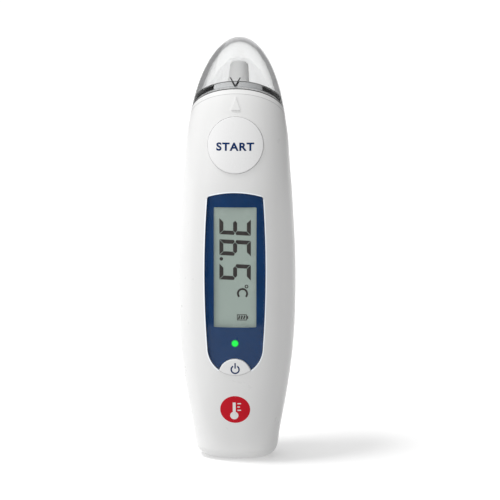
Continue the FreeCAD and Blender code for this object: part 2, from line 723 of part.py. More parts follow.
def zebra_strip():
    """Elastic contact strip between the glass's ledge and the board."""
    return box(-ZEBRA_HALF_WIDTH, ZEBRA_HALF_WIDTH, GLASS_Y + GLASS_T, BOARD_FRONT_Y,
               GLASS_BOTTOM, GLASS_BOTTOM + LEDGE - 3 * SLIP_GAP)


def status_led():
    half = LED_CHIP / 2
    base = box(-half, half, BOARD_FRONT_Y - LED_LAYER, BOARD_FRONT_Y, LED_Z - half, LED_Z + half)
    lens = along_y(half - SLIP_GAP, 0, LED_Z, BOARD_FRONT_Y - 2 * LED_LAYER,
                   BOARD_FRONT_Y - LED_LAYER)
    return join(base, lens)


def led_light_pipe():
    rod = along_y(LED_D / 2 - FILM_GAP, 0, LED_Z, -BIG / 2, BOARD_FRONT_Y - PIPE_GAP)
    rod = rod.common(body(PANEL_STEP + WINDOW_T + FILM_GAP))
    collar = along_y(LED_D / 2 + PIPE_COLLAR, 0, LED_Z, PIPE_COLLAR_Y, PIPE_COLLAR_Y + PIPE_COLLAR_T)
    return join(rod, collar)


# ---------------------------------------------------------------- electronics
def main_board():
    board = rounded(-BOARD_HALF_WIDTH, BOARD_HALF_WIDTH, BOARD_BOTTOM, BOARD_TOP, BOARD_CORNER_R,
                    BOARD_FRONT_Y, BOARD_FRONT_Y + BOARD_T)
    return board.common(body(WALL + BOARD_PLAY))


def board_chips():
    """Packages on the back of the board: controller, amplifier and memory."""
    back = BOARD_FRONT_Y + BOARD_T
    chips = []
    for x, z, width, height, thickness in CHIPS:
        chips.append(box(x - width / 2, x + width / 2, back, back + thickness,
                         z - height / 2, z + height / 2))
    return Part.makeCompound(chips)


def quartz_crystal():
    back = BOARD_FRONT_Y + BOARD_T
    return rounded(QUARTZ_X - QUARTZ_HALF_WIDTH, QUARTZ_X + QUARTZ_HALF_WIDTH,
                   QUARTZ_Z - QUARTZ_HALF_HEIGHT, QUARTZ_Z + QUARTZ_HALF_HEIGHT,
                   QUARTZ_CORNER_R, back, back + QUARTZ_T)


def buzzer():
    back = BOARD_FRONT_Y + BOARD_T
    top = back + BUZZER_T
    case = along_y(BUZZER_R, BUZZER_X, BUZZER_Z, back, top)
    return case.cut(along_y(BUZZER_HOLE_R, BUZZER_X, BUZZER_Z, top - BUZZER_HOLE_DEPTH, top))


def switch_body(z):
    front = BOARD_FRONT_Y - SWITCH_H
    half = SWITCH_SIDE / 2
    block = rounded(-half, half, z - half, z + half, SWITCH_CORNER_R, front, BOARD_FRONT_Y)
    return block.cut(along_y(PLUNGER_R + SLIP_GAP, 0, z, front, BOARD_FRONT_Y - SWITCH_FLOOR))


def switch_plunger(z):
    tip = BOARD_FRONT_Y - SWITCH_H - PLUNGER_RISE
    pin = along_y(PLUNGER_R, 0, z, tip, tip + PLUNGER_LENGTH)
    edge = [e for e in pin.Edges if e.BoundBox.YMax < tip + TINY]
    return pin.makeFillet(PLUNGER_EDGE, edge)


def stem(z, gap):
    """Post inside a button that ends a gap over its switch."""
    end = BOARD_FRONT_Y - SWITCH_H - PLUNGER_RISE - gap
    return along_y(STEM_R, 0, z, -BIG / 2, end).common(body(FLANGE_TOP + SLIP_GAP))


def measure_switch():
    return switch_body(MEASURE_Z)


def measure_switch_plunger():
    return switch_plunger(MEASURE_Z)


def power_switch():
    return switch_body(POWER_SWITCH_Z)


def power_switch_plunger():
    return switch_plunger(POWER_SWITCH_Z)


def measure_button():
    top = measure_outline(MEASURE_R).common(body(-MEASURE_RISE))
    top = soften(top, BUTTON_EDGE).cut(body(FLANGE_BOTTOM))
    flange = measure_outline(MEASURE_R + FLANGE_WIDTH).common(skin(FLANGE_TOP, FLANGE_BOTTOM))
    return join(top, flange, stem(MEASURE_Z, MEASURE_STEM_GAP))


def power_button():
    top = power_outline(0).common(body(-POWER_RISE))
    top = soften(top, BUTTON_EDGE).cut(body(FLANGE_BOTTOM))
    flange = power_outline(FLANGE_WIDTH).common(skin(FLANGE_TOP, FLANGE_BOTTOM))
    return join(top, flange, stem(POWER_SWITCH_Z, POWER_STEM_GAP))


# ---------------------------------------------------------------- power supply
def battery_tray():
    tray = box(-TRAY_HALF_WIDTH, TRAY_HALF_WIDTH, TRAY_FLOOR_Y, TRAY_BACK_Y, TRAY_BOTTOM, TRAY_TOP)
    for x in (-CELL_X, CELL_X):
        length = TRAY_TOP - TRAY_BOTTOM - 2 * TRAY_WALL
        place = Vector(x, CELL_Y, TRAY_BOTTOM + TRAY_WALL)
        tray = tray.cut(Part.makeCylinder(CELL_R + CELL_PLAY, length, place))
    floor = TRAY_BOTTOM + TRAY_WALL
    half = PLATE_X1 + SLIP_GAP
    tray = tray.cut(box(-half, half, CELL_Y - PLATE_FRONT - SLIP_GAP, TRAY_BACK_Y,
                        floor, floor + CONTACT_T + SLIP_GAP))
    return tray.common(body(WALL + TRAY_PLAY))


def cell(x, nub_up):
    can_bottom = CELL_BOTTOM if nub_up else CELL_BOTTOM + NUB_H
    can = Part.makeCylinder(CELL_R, CELL_LENGTH - NUB_H, Vector(x, CELL_Y, can_bottom))
    rims = [e for e in can.Edges if isinstance(e.Curve, Part.Circle)]
    can = can.makeFillet(CELL_EDGE, rims)
    nub_bottom = CELL_BOTTOM + CELL_LENGTH - NUB_H - CELL_PLAY if nub_up else CELL_BOTTOM
    nub = Part.makeCylinder(NUB_R, NUB_H + CELL_PLAY, Vector(x, CELL_Y, nub_bottom))
    return join(can, nub)


def battery_left():
    return cell(-CELL_X, True)


def battery_right():
    return cell(CELL_X, False)


def contact_plate(x0, x1, z0):
    return box(x0, x1, CELL_Y - PLATE_FRONT, CELL_Y + PLATE_BACK, z0, z0 + CONTACT_T)


def leaf(x, root_z, tip_z):
    """Springy tongue folded out of a contact plate towards a cell."""
    left = x - LEAF_HALF_WIDTH
    back_z = root_z + (tip_z - root_z) * LEAF_BACK_SHARE
    outline = [Vector(left, CELL_Y - LEAF_FRONT, root_z), Vector(left, CELL_Y, tip_z),
               Vector(left, CELL_Y + LEAF_BACK, back_z)]
    wire = Part.makePolygon(outline)
    band = wire.makeOffset2D(CONTACT_T, openResult=True, fill=True)
    return band.extrude(Vector(2 * LEAF_HALF_WIDTH, 0, 0))


def bridge_contact():
    floor = TRAY_BOTTOM + TRAY_WALL
    plate = contact_plate(-PLATE_X1, PLATE_X1, floor)
    post = Part.makeCylinder(POST_R, CELL_BOTTOM - floor, Vector(CELL_X, CELL_Y, floor))
    return join(plate, post)


def positive_contact():
    roof = TRAY_TOP - TRAY_WALL - CONTACT_T
    plate = contact_plate(-PLATE_X1, -PLATE_X0, roof)
    top = CELL_BOTTOM + CELL_LENGTH
    return join(plate, Part.makeCylinder(POST_R, roof - top, Vector(-CELL_X, CELL_Y, top)))


def negative_contact():
    roof = TRAY_TOP - TRAY_WALL - CONTACT_T
    plate = contact_plate(PLATE_X0, PLATE_X1, roof)
    tip_z = CELL_BOTTOM + CELL_LENGTH + LEAF_TIP_GAP
    return join(plate, leaf(CELL_X, roof + LEAF_ROOT_GAP, tip_z))


NODES = (front_housing, rear_housing, battery_cover, cover_pad, badge, housing_screws,
         neck_collar, trim_ring, cap, nose_cone, nose_seal, probe_window, wave_guide,
         sensor_can, sensor_pins, sensor_holder, sensor_flex, display_window, display_mask,
         lcd_front_glass, lcd_rear_glass, lcd_reflector, lcd_frame, zebra_strip, status_led,
         led_light_pipe, main_board, board_chips, quartz_crystal, buzzer, measure_switch,
         measure_switch_plunger, power_switch, power_switch_plunger, measure_button,
         power_button, battery_tray, battery_left, battery_right, bridge_contact,
         positive_contact, negative_contact)


def main():
    os.makedirs("parts", exist_ok=True)
    for make in NODES:
        shape = make()
        name = make.__name__
        print(name, len(shape.Solids), shape.isValid(), round(shape.Volume, 2))
        shape.exportStep(f"parts/{name}.step")


main()
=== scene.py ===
import math

import bmesh
import bpy
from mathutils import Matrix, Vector
from mathutils.bvhtree import BVHTree


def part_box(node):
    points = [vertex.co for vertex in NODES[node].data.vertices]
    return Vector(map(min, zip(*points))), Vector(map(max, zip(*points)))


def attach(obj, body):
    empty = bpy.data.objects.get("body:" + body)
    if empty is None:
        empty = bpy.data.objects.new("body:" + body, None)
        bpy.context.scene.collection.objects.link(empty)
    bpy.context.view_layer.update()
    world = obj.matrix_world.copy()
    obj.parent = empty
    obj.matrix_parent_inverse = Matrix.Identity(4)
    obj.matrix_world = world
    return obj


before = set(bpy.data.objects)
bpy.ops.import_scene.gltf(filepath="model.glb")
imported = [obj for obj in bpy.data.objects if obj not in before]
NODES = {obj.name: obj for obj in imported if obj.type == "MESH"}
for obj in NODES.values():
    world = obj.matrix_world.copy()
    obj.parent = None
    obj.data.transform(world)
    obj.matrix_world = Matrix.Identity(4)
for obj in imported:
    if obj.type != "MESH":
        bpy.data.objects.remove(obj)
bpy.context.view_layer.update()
scene = bpy.context.scene
MM = 0.001


# ---------------------------------------------------------------- materials


NOISE_LOW, NOISE_HIGH = 0.3, 0.7        # where most of a noise field lies
GLOSS_SPREAD = 0.15                     # share by which the roughness varies
GLOSS_PATCH = 0.4                       # size of the gloss patches, as a share of the colour's
GRAIN_DEPTH = 0.1                       # depth of the grain, as a share of its size


def new_material(name):
    mat = bpy.data.materials.new(name)
    mat.use_nodes = True
    mat.node_tree.nodes.clear()
    return mat, mat.node_tree


def add(tree, kind, **values):
    """A new node. Each value goes to the socket of that name, or else to the node's setting."""
    node = tree.nodes.new(kind)
    for key, value in values.items():
        socket = node.inputs.get(key.replace("_", " "))
        if socket is None:
            setattr(node, key, value)
        else:
            socket.default_value = value
    return node


def link(tree, source, target):
    tree.links.new(source, target)


def noise(tree, size_mm, detail=3.0, stretch=None):
    """A noise pattern in the object's own space whose features are about size_mm across."""
    coord = add(tree, "ShaderNodeTexCoord")
    place = add(tree, "ShaderNodeMapping")
    if stretch:
        place.inputs["Scale"].default_value = stretch
    field = add(tree, "ShaderNodeTexNoise", Scale=1.0 / (size_mm * MM), Detail=detail)
    link(tree, coord.outputs["Object"], place.inputs["Vector"])
    link(tree, place.outputs["Vector"], field.inputs["Vector"])
    return field.outputs["Fac"]


def spread(tree, field, low, high):
    """Maps a noise field to values between low and high."""
    node = add(tree, "ShaderNodeMapRange")
    node.inputs["From Min"].default_value = NOISE_LOW
    node.inputs["From Max"].default_value = NOISE_HIGH
    node.inputs["To Min"].default_value = low
    node.inputs["To Max"].default_value = high
    link(tree, field, node.inputs["Value"])
    return node.outputs["Result"]


def blend_colours(tree, field, first, second, start=0.35, end=0.65):
    """Turns a field into colours: first up to start, second from end on."""
    ramp = add(tree, "ShaderNodeValToRGB")
    for stop, place, colour in zip(ramp.color_ramp.elements, (start, end), (first, second)):
        stop.position = place
        stop.color = (*colour, 1)
    link(tree, field, ramp.inputs["Fac"])
    return ramp.outputs["Color"]


def shade_of(colour, factor):
    """A lighter or darker shade of a colour."""
    return tuple(min(max(c * factor, 0.0), 1.0) for c in colour)


def solid(name, colour, rough, vary=0.03, patch_mm=14.0, grain_mm=0.9, grain=0.04,
          metallic=0.0, coat=0.0, coat_rough=0.05, ior=1.46, stretch=None, emission=None):
    """An opaque material with a slow colour change, an uneven gloss and a fine surface grain."""
    mat, tree = new_material(name)
    out = add(tree, "ShaderNodeOutputMaterial")
    body = add(tree, "ShaderNodeBsdfPrincipled", Metallic=metallic, IOR=ior)
    body.inputs["Coat Weight"].default_value = coat
    body.inputs["Coat Roughness"].default_value = coat_rough
    patches = noise(tree, patch_mm, 4.0, stretch)
    tone = blend_colours(tree, patches, shade_of(colour, 1 - vary), shade_of(colour, 1 + vary))
    link(tree, tone, body.inputs["Base Color"])
    gloss = spread(tree, noise(tree, patch_mm * GLOSS_PATCH, 3.0, stretch),
                   rough * (1 - GLOSS_SPREAD), rough * (1 + GLOSS_SPREAD))
    link(tree, gloss, body.inputs["Roughness"])
    bump = add(tree, "ShaderNodeBump", Strength=grain, Distance=grain_mm * GRAIN_DEPTH * MM)
    link(tree, noise(tree, grain_mm, 2.0, stretch), bump.inputs["Height"])
    link(tree, bump.outputs["Normal"], body.inputs["Normal"])
    if emission:
        body.inputs["Emission Color"].default_value = (*emission[0], 1)
        body.inputs["Emission Strength"].default_value = emission[1]
    link(tree, body.outputs["BSDF"], out.inputs["Surface"])
    return mat


def moulded_clear(name, tint, rough, inner, ior=1.49):
    """Thick clear plastic: it bends light, and lets lamp light through to what is behind it.
    Light that is thrown back inside the plastic loses some of its brightness."""
    mat, tree = new_material(name)
    out = add(tree, "ShaderNodeOutputMaterial")
    bend = add(tree, "ShaderNodeBsdfRefraction", Color=(*tint, 1), Roughness=rough, IOR=ior)
    shine = add(tree, "ShaderNodeBsdfGlossy", Roughness=rough)
    open_way = add(tree, "ShaderNodeBsdfTransparent", Color=(*tint, 1))
    bump = add(tree, "ShaderNodeBump", Strength=0.02, Distance=0.05 * MM)
    link(tree, noise(tree, 6.0, 2.0), bump.inputs["Height"])
    for shader in (bend, shine):
        link(tree, bump.outputs["Normal"], shader.inputs["Normal"])
    side = add(tree, "ShaderNodeNewGeometry")
    thrown = blend_colours(tree, side.outputs["Backfacing"], (1, 1, 1), inner, 0.0, 1.0)
    link(tree, thrown, shine.inputs["Color"])
    edge = add(tree, "ShaderNodeFresnel", IOR=ior)
    surface = add(tree, "ShaderNodeMixShader")
    link(tree, edge.outputs["Fac"], surface.inputs["Fac"])
    link(tree, bend.outputs["BSDF"], surface.inputs[1])
    link(tree, shine.outputs["BSDF"], surface.inputs[2])
    path = add(tree, "ShaderNodeLightPath")
    mix = add(tree, "ShaderNodeMixShader")
    link(tree, path.outputs["Is Shadow Ray"], mix.inputs["Fac"])
    link(tree, surface.outputs["Shader"], mix.inputs[1])
    link(tree, open_way.outputs["BSDF"], mix.inputs[2])
    link(tree, mix.outputs["Shader"], out.inputs["Surface"])
    return mat


def thin_clear(name, tint, rough, ior=1.45):
    """Flat glass or film that doesn't shift what is seen through it. Its far side throws back
    no more light than its near side does."""
    mat, tree = new_material(name)
    out = add(tree, "ShaderNodeOutputMaterial")
    see = add(tree, "ShaderNodeBsdfTransparent", Color=(*tint, 1))
    shine = add(tree, "ShaderNodeBsdfGlossy", Roughness=rough)
    bump = add(tree, "ShaderNodeBump", Strength=0.02, Distance=0.02 * MM)
    link(tree, noise(tree, 5.0, 2.0), bump.inputs["Height"])
    link(tree, bump.outputs["Normal"], shine.inputs["Normal"])
    side = add(tree, "ShaderNodeNewGeometry")
    index = add(tree, "ShaderNodeMath", operation="MULTIPLY_ADD")
    index.inputs[1].default_value = 1 / ior - ior
    index.inputs[2].default_value = ior
    link(tree, side.outputs["Backfacing"], index.inputs[0])
    rim = add(tree, "ShaderNodeFresnel")
    link(tree, index.outputs["Value"], rim.inputs["IOR"])
    mix = add(tree, "ShaderNodeMixShader")
    link(tree, rim.outputs["Fac"], mix.inputs["Fac"])
    link(tree, see.outputs["BSDF"], mix.inputs[1])
    link(tree, shine.outputs["BSDF"], mix.inputs[2])
    link(tree, mix.outputs["Shader"], out.inputs["Surface"])
    return mat


def principled(mat):
    """The main shader of a material made by solid."""
    return next(n for n in mat.node_tree.nodes if n.type == "BSDF_PRINCIPLED")


def glowing(name, colour, glow, strength):
    """A light pipe's end: bright in its middle and darker towards its edge."""
    mat = solid(name, colour, 0.35, vary=0.06, patch_mm=1.5, emission=(glow, strength))
    tree = mat.node_tree
    low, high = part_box("led_light_pipe")
    middle_z = (low[2] + high[2]) / 2
    reach = (high[2] - low[2]) / 2
    coord = add(tree, "ShaderNodeTexCoord")
    place = add(tree, "ShaderNodeMapping")
    place.inputs["Location"].default_value = (0, 0, -middle_z / reach)
    place.inputs["Scale"].default_value = (1 / reach, 0, 1 / reach)
    away = add(tree, "ShaderNodeVectorMath", operation="LENGTH")
    fade = add(tree, "ShaderNodeMapRange")
    fade.inputs["From Min"].default_value = GLOW_FULL
    fade.inputs["From Max"].default_value = GLOW_EDGE
    fade.inputs["To Min"].default_value = strength
    fade.inputs["To Max"].default_value = strength * GLOW_LEFT
    link(tree, coord.outputs["Object"], place.inputs["Vector"])
    link(tree, place.outputs["Vector"], away.inputs[0])
    link(tree, away.outputs["Value"], fade.inputs["Value"])
    link(tree, fade.outputs["Result"], principled(mat).inputs["Emission Strength"])
    return mat


def neck_steps(tree, steps):
    """A colour that changes in steps up the neck, from (height in mm, colour) pairs.
    Heights are measured along the normal of the neck's leaning seams."""
    coord = add(tree, "ShaderNodeTexCoord")
    height = add(tree, "ShaderNodeVectorMath", operation="DOT_PRODUCT")
    height.inputs[1].default_value = NECK_NORMAL / (NECK_SPAN * MM)
    shift = add(tree, "ShaderNodeMath", operation="SUBTRACT")
    shift.inputs[1].default_value = NECK_NORMAL.dot(NECK_BASE) / (NECK_SPAN * MM)
    ramp = add(tree, "ShaderNodeValToRGB")
    ramp.color_ramp.interpolation = "CONSTANT"
    for i, (start, colour) in enumerate(steps):
        stops = ramp.color_ramp.elements
        stop = stops[i] if i < 2 else stops.new(start / NECK_SPAN)
        stop.position = start / NECK_SPAN
        stop.color = (*colour, 1)
    link(tree, coord.outputs["Object"], height.inputs[0])
    link(tree, height.outputs["Value"], shift.inputs[0])
    link(tree, shift.outputs["Value"], ramp.inputs["Fac"])
    return ramp.outputs["Color"]


def banded(mat, colours, metal=None):
    """Recolours a material in bands up the neck. metal gives their metallic values."""
    tree = mat.node_tree
    body = principled(mat)
    link(tree, neck_steps(tree, colours), body.inputs["Base Color"])
    if metal:
        link(tree, neck_steps(tree, [(start, (v, v, v)) for start, v in metal]),
             body.inputs["Metallic"])
    return mat


def brushed(name, colour, rough, stretch, streak_mm=0.5):
    """Bare metal with fine streaks along one direction."""
    return solid(name, colour, rough, vary=0.06, patch_mm=5.0, grain_mm=streak_mm, grain=0.12,
                 metallic=1.0, stretch=stretch)


GLOW_FULL = 0.38            # share of the light pipe's radius that glows fully
GLOW_EDGE = 0.66            # share of it where the glow has faded
GLOW_LEFT = 0.12            # share of the glow that is left there
NECK_LEAN = math.radians(38)
NECK_NORMAL = Vector((0, math.sin(NECK_LEAN), math.cos(NECK_LEAN)))
NECK_BASE = Vector((0, 4.0, 115.9)) * MM
NECK_SPAN = 10.0            # millimetres covered by the steps
# Where the painted bands on the neck start. The collar's grey band at its seam and its dark band at
# its top edge are painted shadows of the gaps there.
PAINTED_SEAM_SHADOW_TOP = 0.85       # heights on the neck, in millimetres
PAINTED_GAP_SHADOW_BOTTOM = 2.6
# The ring is bare chrome between these two heights. Below and above them it is painted white:
# painted light that stands in for the bright lower edge of the clear cap in front of it.
RING_BRIGHT_BOTTOM = 3.95
RING_BRIGHT_TOP = 6.05
WHITE = (0.88, 0.88, 0.875)
PAINTED_EDGE_LIGHT = (0.92, 0.92, 0.92)
BRIGHT = (0.86, 0.87, 0.88)
PAINTED_SEAM_SHADOW = (0.45, 0.45, 0.45)
PAINTED_GAP_SHADOW = (0.16, 0.16, 0.165)
NAVY = (0.001, 0.05, 0.18)
MATERIALS = {
    "white_shell": solid("white_shell", WHITE, 0.32, vary=0.004, grain=0.015, coat=0.15,
                         coat_rough=0.12),
    "probe_white": solid("probe_white", (0.94, 0.94, 0.935), 0.35, vary=0.005, grain=0.03),
    "white_button": solid("white_button", (0.93, 0.93, 0.93), 0.3, vary=0.005, grain=0.03, coat=0.2,
                          coat_rough=0.15),
    "white_inner": solid("white_inner", (0.78, 0.78, 0.76), 0.5, vary=0.03, grain=0.1),
    "badge_red": solid("badge_red", (0.62, 0.002, 0.016), 0.4, vary=0.04, patch_mm=4.0, ior=1.3),
    "clear_cap": moulded_clear("clear_cap", (0.932, 0.934, 0.934), 0.0, (0.50, 0.50, 0.505)),
    "clear_window": thin_clear("clear_window", (0.985, 0.99, 0.995), 0.03),
    # The ring: chrome, with white bands of painted light for the cap's bright lower edge.
    "ring_chrome_painted_light": banded(solid("ring_chrome_painted_light", BRIGHT, 0.05, grain=0.01, metallic=1.0),
                         [(0, PAINTED_EDGE_LIGHT), (RING_BRIGHT_BOTTOM, BRIGHT), (RING_BRIGHT_TOP, PAINTED_EDGE_LIGHT)],
                         [(0, 0.0), (RING_BRIGHT_BOTTOM, 1.0), (RING_BRIGHT_TOP, 0.0)]),
    # The collar: white, with painted gap shadows at its seam and at its top edge.
    "collar_white_gap_shadows": banded(solid("collar_white_gap_shadows", WHITE, 0.32, grain=0.015, coat=0.15,
                                 coat_rough=0.12),
                           [(0, PAINTED_SEAM_SHADOW), (PAINTED_SEAM_SHADOW_TOP, WHITE),
                            (PAINTED_GAP_SHADOW_BOTTOM, PAINTED_GAP_SHADOW)]),
    "blue_print": solid("blue_print", NAVY, 0.32, vary=0.08, patch_mm=10.0, grain=0.03),
    "lcd_glass": thin_clear("lcd_glass", (0.985, 0.99, 0.985), 0.06, ior=1.12),
    # The reflector glows: painted light, as the display has no lamp behind it.
    "lcd_back_painted_glow": solid("lcd_back_painted_glow", (0.60, 0.70, 0.63), 0.6, vary=0.02, patch_mm=9.0,
                      grain_mm=0.4, grain=0.05, emission=((0.36, 0.43, 0.38), 0.25)),
    "black_plastic": solid("black_plastic", (0.025, 0.026, 0.03), 0.45, vary=0.1, grain=0.1),
    "soft_rubber": solid("soft_rubber", (0.05, 0.05, 0.052), 0.75, vary=0.1, grain=0.2),
    "grey_foam": solid("grey_foam", (0.09, 0.09, 0.1), 0.95, vary=0.25, patch_mm=1.2,
                       grain_mm=0.5, grain=0.6),
    "green_board": solid("green_board", (0.015, 0.13, 0.05), 0.35, vary=0.12, patch_mm=6.0,
                         coat=0.3),
    "nickel": brushed("nickel", (0.66, 0.66, 0.64), 0.28, (1, 1, 8)),
    "gold_plate": brushed("gold_plate", (0.83, 0.60, 0.22), 0.22, (1, 1, 4)),
    "turned_sleeve": brushed("turned_sleeve", (0.72, 0.72, 0.73), 0.3, (6, 6, 1)),
    "cell_can": solid("cell_can", (0.03, 0.10, 0.24), 0.3, vary=0.1, patch_mm=8.0, metallic=0.6,
                      coat=0.3),
    "green_light": glowing("green_light", (0.0, 0.35, 0.02), (0.0, 1.0, 0.075), 1.0),
    "amber_film": solid("amber_film", (0.52, 0.24, 0.04), 0.35, vary=0.1, patch_mm=2.0, coat=0.3),
    "navy_ink": solid("navy_ink", (0.001, 0.026, 0.12), 0.7, vary=0.08, patch_mm=2.0, grain=0.08,
                      ior=1.25),
    # The film in front of the display glows too: painted light for the lit reflector behind it.
    "lcd_film_painted_glow": solid("lcd_film_painted_glow", (0.44, 0.515, 0.46), 0.25, vary=0.012, patch_mm=9.0,
                      grain_mm=0.4, grain=0.02, emission=((0.36, 0.42, 0.38), 0.17)),
    "lcd_ink": solid("lcd_ink", (0.066, 0.057, 0.053), 0.6, vary=0.12, patch_mm=1.5, grain=0.05),
    "white_ink": solid("white_ink", (0.88, 0.87, 0.86), 0.4, vary=0.02, patch_mm=2.0, grain=0.05),
    # The window's border glows: a painted highlight along the edge of the window.
    "border_painted_highlight": solid("border_painted_highlight", (0.90, 0.93, 0.96), 0.25, vary=0.02, patch_mm=3.0,
                          emission=((0.8, 0.9, 1.0), 0.25)),
    # Near black: painted shade for the embossed clear mark on the cap, which looks dark where it
    # bends the light.
    "painted_refraction_line": solid("painted_refraction_line", (0.02, 0.021, 0.023), 0.6, vary=0.1, patch_mm=1.5),
}
FINISH = {
    "front_housing": "white_shell",
    "rear_housing": "white_shell",
    "battery_cover": "white_shell",
    "cover_pad": "grey_foam",
    "badge": "badge_red",
    "housing_screws": "nickel",
    "neck_collar": "collar_white_gap_shadows",
    "trim_ring": "ring_chrome_painted_light",
    "cap": "clear_cap",
    "nose_cone": "probe_white",
    "nose_seal": "soft_rubber",
    "probe_window": "lcd_glass",
    "wave_guide": "gold_plate",
    "sensor_can": "nickel",
    "sensor_pins": "gold_plate",
    "sensor_holder": "turned_sleeve",
    "sensor_flex": "amber_film",
    "display_window": "clear_window",
    "display_mask": "blue_print",
    "lcd_front_glass": "lcd_glass",
    "lcd_rear_glass": "lcd_glass",
    "lcd_reflector": "lcd_back_painted_glow",
    "lcd_frame": "white_inner",
    "zebra_strip": "soft_rubber",
    "status_led": "green_light",
    "led_light_pipe": "green_light",
    "main_board": "green_board",
    "board_chips": "black_plastic",
    "quartz_crystal": "nickel",
    "buzzer": "black_plastic",
    "measure_switch": "nickel",
    "measure_switch_plunger": "black_plastic",
    "power_switch": "nickel",
    "power_switch_plunger": "black_plastic",
    "measure_button": "white_button",
    "power_button": "white_button",
    "battery_tray": "white_inner",
    "battery_left": "cell_can",
    "battery_right": "cell_can",
    "bridge_contact": "nickel",
    "positive_contact": "nickel",
    "negative_contact": "nickel",
}
for node_name, node in NODES.items():
    node.data.materials.clear()
    node.data.materials.append(MATERIALS[FINISH[node_name]])


# ---------------------------------------------------------------- thin printed marks


PRINT_GRID = 0.6 * MM
PRINT_LIFT = 0.02 * MM
FAR_FRONT = -0.08           # metres, well in front of the object


def surface_tree(node_name):
    """A search tree of a node's surface."""
    mesh = bmesh.new()
    mesh.from_mesh(NODES[node_name].data)
    tree = BVHTree.FromBMesh(mesh)
    mesh.free()
    return tree


def cut_to_grid(mesh, step):
    """Cuts flat faces in the XZ plane along a grid, so that they can follow a curved surface."""
    for axis in (0, 2):
        values = [v.co[axis] for v in mesh.verts]
        line = math.floor(min(values) / step) * step
        while line < max(values):
            spot, normal = Vector((0, 0, 0)), Vector((0, 0, 0))
            spot[axis] = line
            normal[axis] = 1
            bmesh.ops.bisect_plane(mesh, geom=mesh.verts[:] + mesh.edges[:] + mesh.faces[:],
                                   plane_co=spot, plane_no=normal, dist=1e-9)
            line += step


def face_front(mesh):
    """Turns every face towards -Y."""
    mesh.normal_update()
    bmesh.ops.reverse_faces(mesh, faces=[face for face in mesh.faces if face.normal.y > 0])


def printed(name, mesh, node_name, body, material, lift=PRINT_LIFT, step=PRINT_GRID):
    """Lays a flat pattern in the XZ plane on the -Y side of a node, as a thin printed layer."""
    tree = surface_tree(node_name)
    cut_to_grid(mesh, step)
    for vert in mesh.verts:
        hit = tree.ray_cast(Vector((vert.co.x, FAR_FRONT, vert.co.z)), Vector((0, 1, 0)))[0]
        vert.co.y = hit.y - lift if hit else vert.co.y
    for face in mesh.faces:
        face.smooth = True
    face_front(mesh)
    finish_piece(name, mesh, body, material)


def finish_piece(name, mesh, body, material):
    """Makes a mesh a piece of the object that rides on a body."""
    data = bpy.data.meshes.new(name)
    mesh.to_mesh(data)
    mesh.free()
    data.materials.append(MATERIALS[material])
    piece = bpy.data.objects.new(name, data)
    scene.collection.objects.link(piece)
    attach(piece, body)


def add_polygon(mesh, points, y=0.0):
    """A flat face through (x, z) points given in millimetres."""
    mesh.faces.new([mesh.verts.new((x * MM, y, z * MM)) for x, z in points])


def add_stroke(mesh, start, end, width, y=0.0):
    """A straight bar with square ends."""
    (x0, z0), (x1, z1) = start, end
    length = math.hypot(x1 - x0, z1 - z0)
    nx, nz = -(z1 - z0) / length * width / 2, (x1 - x0) / length * width / 2
    add_polygon(mesh, [(x0 + nx, z0 + nz), (x1 + nx, z1 + nz), (x1 - nx, z1 - nz),
                       (x0 - nx, z0 - nz)], y)


def add_arc(mesh, centre, radius, width, start_deg=0, end_deg=360, parts=40, y=0.0):
    """A ring or a part of one, with its radius measured to the middle of the line."""
    cx, cz = centre
    inner, outer = [], []
    for i in range(parts + 1):
        angle = math.radians(start_deg + (end_deg - start_deg) * i / parts)
        c, s = math.cos(angle), math.sin(angle)
        inner.append(mesh.verts.new(((cx + (radius - width / 2) * c) * MM, y,
                                     (cz + (radius - width / 2) * s) * MM)))
        outer.append(mesh.verts.new(((cx + (radius + width / 2) * c) * MM, y,
                                     (cz + (radius + width / 2) * s) * MM)))
    for i in range(parts):
        mesh.faces.new((inner[i], inner[i + 1], outer[i + 1], outer[i]))


def add_disc(mesh, centre, radius, parts=40, y=0.0):
    """A filled disc."""
    add_arc(mesh, centre, radius / 2, radius, parts=parts, y=y)


def word_mesh(text, centre, height_mm, width_mm, bold):
    """The outline of a word as flat faces, scaled to a letter height and a total width."""
    curve = bpy.data.curves.new("word", "FONT")
    curve.body = text
    curve.offset = bold
    curve.space_character = 1.12
    curve.resolution_u = 6
    holder = bpy.data.objects.new("word", curve)
    scene.collection.objects.link(holder)
    bpy.context.view_layer.update()
    shaped = holder.evaluated_get(bpy.context.evaluated_depsgraph_get())
    data = bpy.data.meshes.new_from_object(shaped)
    bpy.data.objects.remove(holder)
    mesh = bmesh.new()
    mesh.from_mesh(data)
    bpy.data.meshes.remove(data)
    xs = [v.co.x for v in mesh.verts]
    ys = [v.co.y for v in mesh.verts]
    for vert in mesh.verts:
        u = (vert.co.x - min(xs)) / (max(xs) - min(xs)) - 0.5
        v = (vert.co.y - min(ys)) / (max(ys) - min(ys)) - 0.5
        vert.co = ((centre[0] + u * width_mm) * MM, 0, (centre[1] + v * height_mm) * MM)
    return mesh


# The word on the large button. Places and sizes of all signs are in millimetres.
word = word_mesh("START", centre=(0.0, 108.4), height_mm=2.75, width_mm=12.6, bold=0.034)
printed("start_word", word, "measure_button", "measure_button", "navy_ink")

